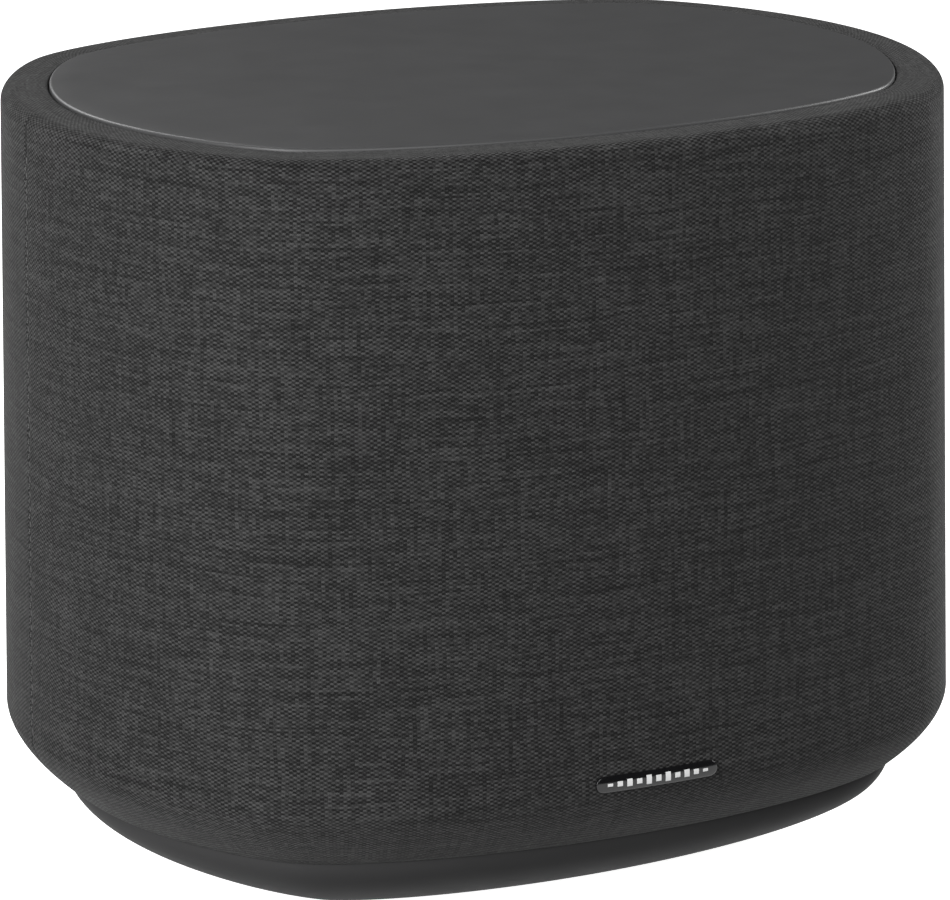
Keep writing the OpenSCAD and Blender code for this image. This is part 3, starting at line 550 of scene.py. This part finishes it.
def makeCloth():
    seam = math.radians(cloth["seamTurn"])
    even = seam + np.linspace(0, 2 * np.pi, cloth["columns"], endpoint=False)
    fine = seam + np.radians(np.arange(-1.6, 1.61, 0.1))  # closer columns across the seam
    turns = np.unique(np.concatenate([even, fine % (2 * np.pi) + (fine < seam) * 0]).round(6))
    turns = np.unique(np.mod(turns, 2 * np.pi).round(6))
    start = np.searchsorted(turns, (seam - math.pi) % (2 * np.pi))
    turns = np.concatenate([turns[start:], turns[:start] + 2 * np.pi])
    profile = clothProfile()
    points = sweep(profile, turns)
    ringX, ringY = edgePoints(turns, 0.0)
    step = np.hypot(np.diff(ringX, append=ringX[0]), np.diff(ringY, append=ringY[0]))
    along = np.concatenate([[0], np.cumsum(step)])  # one longer than the columns: the last closes the ring
    seamAt = float(np.interp((seam - turns[0]) % (2 * np.pi) + turns[0], turns, along[:-1]))
    up = np.concatenate([[0], np.cumsum(np.hypot(*np.diff(profile, axis=0).T))])
    # the cloth is drawn in along the seam: depth exp(-(distance / width)^2)
    distance = along[:-1] - seamAt
    sink = cloth["seamDepth"] * np.exp(-(distance / cloth["seamWidth"]) ** 2)
    points[..., 0] -= np.cos(turns) * sink
    points[..., 1] -= np.sin(turns) * sink
    rows, cols = points.shape[:2]
    quads = gridQuads(rows, cols)
    r, c = np.meshgrid(np.arange(rows - 1), np.arange(cols), indexing="ij")
    uv = np.stack([np.stack([along[c + dc], up[r + dr]], -1)
                   for dr, dc in ((0, 0), (0, 1), (1, 1), (1, 0))], 2)
    uv = uv.reshape(-1, 4, 2)
    flat = points.reshape(-1, 3)
    middle = flat[quads].mean(1)
    lo, hi = nodeBox("rear_bezel")
    inset = 1.5 * mm  # the cut edge hides under the bezel
    window = ((middle[:, 1] > 0) & (middle[:, 0] > lo[0] + inset) & (middle[:, 0] < hi[0] - inset)
              & (middle[:, 2] > lo[2] + inset) & (middle[:, 2] < hi[2] - inset))
    mat = wovenCloth(float(along[-1]), seamAt)
    piece = meshFrom("fabric_cover", flat, quads[~window], mat, uv[~window], 60.0)
    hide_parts("fabric_sleeve")
    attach(piece, "cabinet")
    return piece


makeCloth()
print("cloth made")


# Stitches of the seam.

stitch = {"sunk": 0.12 * mm, "pitch": 2.7 * mm, "length": 2.3 * mm, "thread": 0.28 * mm, "spread": 0.75 * mm,
          "from": 60 * mm, "to": 268 * mm}


def makeStitches():
    # short capsules set alternately left and right of the seam, each tilted towards the next
    count = int((stitch["to"] - stitch["from"]) / stitch["pitch"])
    z = stitch["from"] + stitch["pitch"] * np.arange(count)
    lean = body["draft"] * (z - body["bellyZ"]) / (body["rimZ"] - body["topRound"] - body["bellyZ"])
    t = math.radians(cloth["seamTurn"])
    x, y = edgePoints(np.full(count, t), lean + stitch["sunk"])
    side = np.where(np.arange(count) % 2 == 0, 1.0, -1.0)
    outward, across = np.array([math.cos(t), math.sin(t), 0]), np.array([-math.sin(t), math.cos(t), 0])
    centre = np.stack([x, y, z], -1) + across * (side * stitch["spread"] * 0.5)[:, None]
    s = np.linspace(-1, 1, 7)
    a = np.linspace(0, 2 * np.pi, 8, endpoint=False)
    fat = stitch["thread"] * np.sqrt(np.clip(1 - s ** 4, 0.02, 1))
    axis = np.stack([np.zeros(count), np.zeros(count), np.ones(count)], -1)
    axis = axis - across * (side * 0.28)[:, None]
    axis = axis / np.linalg.norm(axis, axis=1, keepdims=True)
    sideways = np.cross(axis, outward)
    points = (centre[:, None, None, :]
              + axis[:, None, None, :] * (s * stitch["length"] / 2)[None, :, None, None]
              + sideways[:, None, None, :] * (fat[:, None] * np.cos(a))[None, :, :, None]
              + outward * (fat[:, None] * np.sin(a))[None, :, :, None])
    quads = gridQuads(7, 8)[:, ::-1]
    faces = (quads[None] + (np.arange(count) * 56)[:, None, None]).reshape(-1, 4).tolist()
    caps = [[i * 56 + k for k in range(8)] for i in range(count)]
    caps += [[i * 56 + 55 - k for k in range(8)] for i in range(count)]
    mat, tree, shader = newMaterial("thread")
    twist = add(tree, "ShaderNodeTexWave", {"Vector": objectSpot(tree, (1, 1, 1)), "Scale": 1100.0},
                bands_direction="DIAGONAL").outputs["Fac"]
    tree.links.new(pick(tree, twist, 0.2, 0.8, grey(0.02), grey(0.075)), shader.inputs["Base Color"])
    shader.inputs["Roughness"].default_value = 0.8
    bumpOf(tree, shader, twist, 0.00006, 0.6)
    piece = meshFromFaces("seam_stitches", points.reshape(-1, 3), faces + caps, mat)
    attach(piece, "cabinet")


makeStitches()
print("seam stitched")


# Top plate.

plate = {"columns": 360, "edgeRound": 1.0 * mm, "footChamfer": 0.3 * mm}


def cappedSweep(name, profile, turns, material, sharp=30.0):
    # the profile runs from the middle of the underside to the middle of the top, and both ends are closed
    points = sweep(profile, turns)
    rows, cols = points.shape[:2]
    ends = np.array([[0, 0, profile[0, 1]], [0, 0, profile[-1, 1]]])
    flat = np.concatenate([points.reshape(-1, 3), ends])
    return meshFromFaces(name, flat, closedFaces(rows, cols), material, sharp)


def makePlate():
    inset = float(body["halfWidth"] - plateHigh[0])
    low, high = float(plateLow[2]), float(plateHigh[2])
    r = plate["edgeRound"]
    inner = np.array([110, 60, 30]) * mm
    profile = np.concatenate([
        np.stack([inner, np.full(3, low)], -1),
        [[inset + plate["footChamfer"], low], [inset, low + plate["footChamfer"]]],
        arc(inset + r, high - r, r, 180, 90, 7),
        np.stack([inner[::-1], np.full(3, high)], -1),
    ])
    turns = np.linspace(0, 2 * np.pi, plate["columns"], endpoint=False)
    piece = cappedSweep("top_panel", profile, turns, finishes["platePlastic"])
    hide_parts("top_plate")
    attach(piece, "cabinet")


makePlate()
print("plate made")


# Badge.

badge = {
    "barsDeep": 0.3 * mm,  # from the front of the bars back to the lens
    "endFall": 0.3 * mm,
    "crown": 0.55 * mm,  # how far the lens falls away at its upper and lower edges
    "tilt": 0.05,  # rise of the lens towards the room per unit of height
    "across": 120,
    "up": 24,
    "barPitch": 3.7 * mm,
    "barWidth": 2.0 * mm,
    "barHeights": [1, 1.8, 2.6, 1.8, 3.2, 2.2, 3.2, 1.8, 2.6, 1.8, 1],  # mm
    "barRise": 0.06 * mm,
}
badgeLow, badgeHigh = nodeBox("badge_body")
badgeMid = (badgeLow + badgeHigh) / 2
badgeHalf = (badgeHigh - badgeLow) / 2


def frontDepth(x):
    # the front's face is a circle of the outline's radius there, h + h'' at the front
    radius = body["halfDepth"] + 4 * body["oval"] - 16 * body["sharp4"] + 36 * body["sharp6"]
    return -body["halfDepth"] + radius - np.sqrt(radius ** 2 - x ** 2)


def lensSurface(x, z):
    # y = front(x) - proud + crown v^2 + tilt, v from -1 to 1 up the badge; the ends fall away by u^10
    v = (z - badgeMid[2]) / badgeHalf[2]
    u = x / badgeHalf[0]
    front = float(nodeBox("badge_bars")[0][1]) + badge["barsDeep"] + frontDepth(x) - frontDepth(0)
    return front + badge["crown"] * v ** 2 + badge["endFall"] * u ** 10 + badge["tilt"] * (z - badgeMid[2])


def makeBadge():
    # the stadium outline shrunk in rings from its edge to its middle line, each ring lifted onto the lens
    halfW, r = float(badgeHalf[0]), float(badgeHalf[2])
    a = np.linspace(-np.pi / 2, np.pi / 2, badge["up"])
    right = np.stack([halfW - r + r * np.cos(a), r * np.sin(a)], -1)
    run = np.linspace(1, -1, badge["across"])[1:-1, None] * (halfW - r)
    top = np.concatenate([run, np.full_like(run, r)], -1)
    edge = np.concatenate([right, top, -right, -top])
    spine = np.stack([np.clip(edge[:, 0], -(halfW - r), halfW - r), np.zeros(len(edge))], -1)
    rings = []
    for share, sink in ((1.0, 1.5 * mm), (1.0, 0.34 * mm), (0.985, 0.12 * mm), (0.95, 0.02 * mm), (0.88, 0),
                        (0.75, 0), (0.6, 0), (0.45, 0), (0.3, 0), (0.15, 0), (0.0, 0)):
        flat = spine + (edge - spine) * share
        y = lensSurface(flat[:, 0], flat[:, 1] + badgeMid[2]) + sink
        rings.append(np.stack([flat[:, 0], y, flat[:, 1] + badgeMid[2]], -1))
    cols = len(edge)
    back = rings[0].copy()
    back[:, 0] *= 0.5
    back[:, 2] = badgeMid[2] + (back[:, 2] - badgeMid[2]) * 0.02
    points = np.concatenate([back] + rings)
    quads = gridQuads(len(rings) + 1, cols)
    piece = meshFrom("badge_lens", points, quads, finishes["blackGloss"], sharp=35.0)
    closeSeams(piece)
    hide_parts("badge_body")
    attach(piece, "cabinet")


def closeSeams(piece):
    # the innermost ring folds onto a line: its two sides are joined there, and open ends get a face
    mesh = bmesh.new()
    mesh.from_mesh(piece.data)
    bmesh.ops.remove_doubles(mesh, verts=mesh.verts, dist=0.00001)
    bmesh.ops.holes_fill(mesh, edges=[e for e in mesh.edges if e.is_boundary], sides=0)
    bmesh.ops.recalc_face_normals(mesh, faces=mesh.faces)
    mesh.to_mesh(piece.data)
    mesh.free()
    piece.data.shade_smooth()
    piece.data.set_sharp_from_angle(angle=math.radians(35))


def makeBars():
    # each bar is a thin tile that follows the lens: front face above it by barRise, sides going into it
    count = len(badge["barHeights"])
    points, faces = [], []
    steps = np.linspace(-0.5, 0.5, 7)
    for n, tall in enumerate(badge["barHeights"]):
        xs = (n - (count - 1) / 2) * badge["barPitch"] + np.array([-0.5, -0.5, 0.5, 0.5]) * badge["barWidth"]
        z = badgeMid[2] + steps[:, None] * tall * mm + 0 * xs
        x = xs + 0 * z
        rise = np.array([-0.2 * mm, badge["barRise"], badge["barRise"], -0.2 * mm])
        y = lensSurface(x, z) - rise
        start = n * x.size
        points.append(np.stack([x, y, z], -1).reshape(-1, 3))
        faces += (gridQuads(7, 4) + start).tolist()
        faces += [[start + 3, start + 2, start + 1, start], [start + 24, start + 25, start + 26, start + 27]]
    piece = meshFromFaces("badge_level_bars", np.concatenate(points), faces, finishes["lightBars"])
    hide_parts("badge_bars")
    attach(piece, "cabinet")


makeBadge()
makeBars()
print("badge made")


# Base.

skirt = {"power": 1.87, "topInset": 20 * mm, "lowInset": 60.5 * mm, "wall": 3.4 * mm, "columns": 320,
         "lip": 0.8 * mm, "coverDeep": 3.3 * mm, "ledgeInset": 71 * mm, "ledgeThick": 3 * mm,
         "flangeStart": 26.6 * mm, "flangeInset": 38 * mm, "rimInset": 24 * mm, "rimGap": 0.5 * mm}


def skirtCurve(k, w):
    # inset = topInset + (lowInset - topInset) k^power while z falls evenly, moved in by w square to itself
    drop = float(baseZ[0] - baseZ[1])
    spread = skirt["lowInset"] - skirt["topInset"]
    a = np.arctan2(spread * skirt["power"] * np.maximum(k, 0.01) ** (skirt["power"] - 1), drop)
    return np.stack([skirt["topInset"] + spread * k ** skirt["power"] + w * np.cos(a),
                     baseZ[0] - drop * k + w * np.sin(a)], -1)


baseZ = (float(body["hemZ"]), float(baseLow[2]))


def makeSkirt():
    low, top = baseZ[1], float(baseHigh[2])
    lip = skirt["lowInset"] + skirt["lip"]
    step = low + skirt["coverDeep"]
    under = top - skirt["wall"]
    outer = skirtCurve(np.linspace(0, 1, 26), 0)
    inner = skirtCurve(np.linspace(0.86, 0.25, 14), skirt["wall"])
    profile = np.concatenate([
        outer, [[lip, low], [lip, step]],
        [[skirt["ledgeInset"], step], [skirt["ledgeInset"], step + skirt["ledgeThick"]]], inner,
        [[skirt["flangeStart"], under], [skirt["flangeInset"], under]],
        [[skirt["flangeInset"], top], [skirt["rimInset"], top]],
        [[skirt["rimInset"], baseZ[0]], [skirt["topInset"] + skirt["rimGap"], baseZ[0]]],
    ])[::-1]
    turns = np.linspace(0, 2 * np.pi, skirt["columns"], endpoint=False)
    points = sweep(profile, turns)
    rows, cols = points.shape[:2]
    piece = meshFrom("base_skirt", points.reshape(-1, 3), gridQuads(rows, cols, wrapRows=True),
                     finishes["basePlastic"])
    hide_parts("base_shell")
    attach(piece, "cabinet")


makeSkirt()
print("base made")


# Surround and spider, which bend between basket and cone.

# lands and the ends of the spider are radii in mm
flex = {"columns": 144, "thick": 0.6 * mm, "rollMiddle": 85 * mm, "rollR": 6.7 * mm,
        "outerLand": (95.6, 93.5, 92.1), "innerLand": (77.6, 76, 74.2), "rollBend": (78.5 * mm, 91.5 * mm),
        "spiderThick": 0.5 * mm, "spiderWaves": 4, "spiderHeight": 1.6 * mm, "spiderEdge": 0.35 * mm,
        "spiderInner": 25.3, "spiderOuter": 57, "spiderLand": (58, 62.6), "spiderBend": (27 * mm, 56 * mm)}


def ringWall(name, middle, thick, material, columns=144):
    # a wall of even thickness turned round Z: the middle line (r, z) moved by half the thickness to
    # either side along its normal, and the two ends closed
    tangent = np.gradient(middle, axis=0)
    tangent = tangent / np.linalg.norm(tangent, axis=1, keepdims=True)
    normal = np.stack([tangent[:, 1], -tangent[:, 0]], -1)
    profile = np.concatenate([middle + normal * thick / 2, (middle - normal * thick / 2)[::-1]])
    a = np.linspace(0, 2 * np.pi, columns, endpoint=False)
    points = np.stack([profile[:, :1] * np.cos(a), profile[:, :1] * np.sin(a),
                       np.broadcast_to(profile[:, 1:], (len(profile), columns))], -1)
    quads = gridQuads(len(profile), columns, wrapRows=True)
    return meshFrom(name, points.reshape(-1, 3), quads, material, sharp=40.0)


def bendBetween(piece, inner, outer):
    # weight 0 (cabinet) at the outer radius, 1 (cone) at the inner, smooth in between
    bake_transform(piece, "cabinet", "woofer_cone", start=(outer, 0, 0), end=(inner, 0, 0))
    co = np.empty(len(piece.data.vertices) * 3, dtype=np.float32)
    piece.data.vertices.foreach_get("co", co)
    co = co.reshape(-1, 3)
    k = np.clip((outer - np.hypot(co[:, 0], co[:, 1])) / (outer - inner), 0, 1)
    weight = piece.data.attributes["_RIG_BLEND"]
    weight.data.foreach_set("value", (k * k * (3 - 2 * k)).astype(np.float32))


def makeSurround():
    # half roll hanging down between two flat lands
    z = float(nodeBox("surround")[1][2]) - flex["thick"] / 2
    roll = arc(flex["rollMiddle"], z, flex["rollR"], 0, -180, 25)
    middle = np.concatenate([[[r * mm, z] for r in flex["outerLand"]], roll,
                             [[r * mm, z] for r in flex["innerLand"]]])
    piece = ringWall("roll_surround", middle, flex["thick"], finishes["rollRubber"], flex["columns"])
    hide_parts("surround")
    bendBetween(piece, *flex["rollBend"])


def makeSpider():
    # z = middle + height sin(2 pi waves s), s from 0 at the former to 1 at the outer land
    low, high = nodeBox("spider")
    s = np.linspace(0, 1, 60)
    waveLow = float(low[2]) + flex["spiderHeight"] + flex["spiderEdge"]
    landZ = float(high[2]) - flex["spiderEdge"]
    r = flex["spiderInner"] * mm + s * (flex["spiderOuter"] - flex["spiderInner"]) * mm
    z = waveLow + flex["spiderHeight"] * np.sin(2 * np.pi * flex["spiderWaves"] * s)
    z = z + (landZ - waveLow) * np.clip((s - 0.94) / 0.06, 0, 1)
    land = np.stack([np.linspace(*flex["spiderLand"], 4) * mm, np.full(4, landZ)], -1)
    middle = np.concatenate([np.stack([r, z], -1), land])[::-1]
    piece = ringWall("corrugated_spider", middle, flex["spiderThick"], finishes["spiderCloth"],
                     flex["columns"])
    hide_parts("spider")
    bendBetween(piece, *flex["spiderBend"])


makeSurround()
makeSpider()
print("surround and spider made")


# Damping pad.

pad = {"ripple": 0.5 * mm, "rows": 40, "columns": 96}


def makePad():
    # rounded-box pad: a superellipse plan drawn in towards both faces, the edge radius following
    # |s|^4, and a slow ripple of the fleece over the faces
    low, high = nodeBox("wadding_pad")
    middle, half = (low + high) / 2, (high - low) / 2
    phi = np.linspace(-np.pi / 2, np.pi / 2, pad["rows"])[1:-1, None]
    a = np.linspace(0, 2 * np.pi, pad["columns"], endpoint=False)[None, :]
    round1 = np.sign(np.cos(a)) * np.abs(np.cos(a)) ** 0.28
    round2 = np.sign(np.sin(a)) * np.abs(np.sin(a)) ** 0.28
    spread = np.cos(phi) ** 0.4
    x = half[0] * spread * round1
    y = half[1] * spread * round2
    z = half[2] * np.sign(np.sin(phi)) * np.abs(np.sin(phi)) ** 0.55 + 0 * a
    ripple = pad["ripple"] * np.sin(x * 160) * np.cos(y * 190) * np.cos(phi)
    z = np.clip(z + ripple, -half[2], half[2])
    points = np.stack([x, y, z], -1) + middle
    rows, cols = points.shape[:2]
    ends = middle + np.array([[0, 0, -half[2]], [0, 0, half[2]]])
    flat = np.concatenate([points.reshape(-1, 3), ends])
    piece = meshFromFaces("damping_pad", flat, closedFaces(rows, cols), finishes["fleece"])
    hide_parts("wadding_pad")
    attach(piece, "cabinet")


makePad()
print("pad made")


# Screws that show.

screw = {"rings": 15, "columns": 48, "reach": 0.6, "arm": 0.17, "depth": 0.55}


screws = {"headR": 2.6 * mm, "panelHeadH": 1.3 * mm, "panelShankR": 1.2 * mm,
          "coverHeadH": 1.8 * mm, "coverShankR": 1.25 * mm, "coverInset": 66.5 * mm}


def screwShape(headR, headH, shankR, length):
    # turned about its axis: end of the shank, shank, underside, rim and a head z = h (1 - 0.4 (r / R)^2);
    # the head is lowered where |y| < arm and |x| < reach or the other way round, with soft edges
    a = np.linspace(0, 2 * np.pi, screw["columns"], endpoint=False)
    r = np.linspace(1, 0.06, screw["rings"])
    stem = np.array([[shankR * 0.5, -length], [shankR, -length * 0.86], [shankR, 0], [headR * 0.97, 0],
                     [headR, headH * 0.12], [headR, headH * 0.5]])
    dome = np.stack([r * headR * 0.985, headH * (1 - 0.4 * r ** 2)], -1)
    profile = np.concatenate([stem, dome])
    x, y = profile[:, :1] * np.cos(a) / headR, profile[:, :1] * np.sin(a) / headR

    def slot(u, v):
        return (np.clip((screw["arm"] + 0.05 - np.abs(v)) / 0.1, 0, 1)
                * np.clip((screw["reach"] + 0.06 - np.abs(u)) / 0.12, 0, 1))

    recess = np.maximum(slot(x, y), slot(y, x)) * (np.arange(len(profile)) >= len(stem))[:, None]
    z = profile[:, 1:] - recess * screw["depth"] * headH
    rows, cols = x.shape
    points = np.concatenate([np.stack([x * headR, y * headR, z], -1).reshape(-1, 3),
                             [[0, 0, -length], [0, 0, headH * (1 - screw["depth"])]]])
    return points, closedFaces(rows, cols)


def crossScrews(name, node, seats, outward, headH, shankR):
    # one screw on each seat, its head standing outward from there
    side = np.cross([1.0, 0, 0], outward)
    other = np.cross(outward, side)
    low, high = nodeBox(node)
    length = float(np.dot(high - low, np.abs(outward))) - headH
    points, faces = screwShape(screws["headR"], headH, shankR, length)
    placed = (seats[:, None] + points[None, :, :1] * side + points[None, :, 1:2] * other
              + points[None, :, 2:] * outward)
    every = [[i + n * len(points) for i in f] for n in range(len(seats)) for f in faces]
    piece = meshFromFaces(name, placed.reshape(-1, 3), every, finishes["screwSteel"])
    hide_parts(node)
    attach(piece, "cabinet")


low, high = nodeBox("panel_screws")
headR = screws["headR"]
panelSeats = np.array([[x, high[1] - screws["panelHeadH"], z] for x in (low[0] + headR, high[0] - headR)
                       for z in (low[2] + headR, high[2] - headR)])
crossScrews("panel_cross_screws", "panel_screws", panelSeats, np.array([0.0, 1.0, 0.0]),
            screws["panelHeadH"], screws["panelShankR"])
coverX, coverY = edgePoints(np.radians(30 + 60 * np.arange(6)), screws["coverInset"])
coverSeats = np.stack([coverX, coverY, np.full(6, nodeBox("bottom_cover")[0][2])], -1)
crossScrews("cover_cross_screws", "cover_screws", coverSeats, np.array([0.0, 0.0, -1.0]),
            screws["coverHeadH"], screws["coverShankR"])
print("screws made")


# Floor.

def makeFloor():
    mat, tree, shader = newMaterial("floorPaper")
    tone = noiseAt(tree, objectSpot(tree), 3.0, 2.0)
    tree.links.new(pick(tree, tone, 0.3, 0.7, tint(studio["floorColour"], 0.99), studio["floorColour"]),
                   shader.inputs["Base Color"])
    shader.inputs["Roughness"].default_value = 0.9
    shader.inputs["Emission Color"].default_value = (1, 1, 1, 1)
    shader.inputs["Emission Strength"].default_value = studio["floorGlow"]
    floorZ = -0.1 * mm  # just clear of the feet
    mesh = bpy.data.meshes.new("floor")
    mesh.from_pydata([(-9, -9, floorZ), (9, -9, floorZ), (9, 9, floorZ), (-9, 9, floorZ)], [], [(0, 1, 2, 3)])
    mesh.materials.append(mat)
    floor = bpy.data.objects.new("floor", mesh)
    bpy.context.scene.collection.objects.link(floor)
    floor.visible_diffuse = False  # the paper is seen and mirrored; the lamp under it does its lighting
    floor.visible_shadow = False


makeFloor()
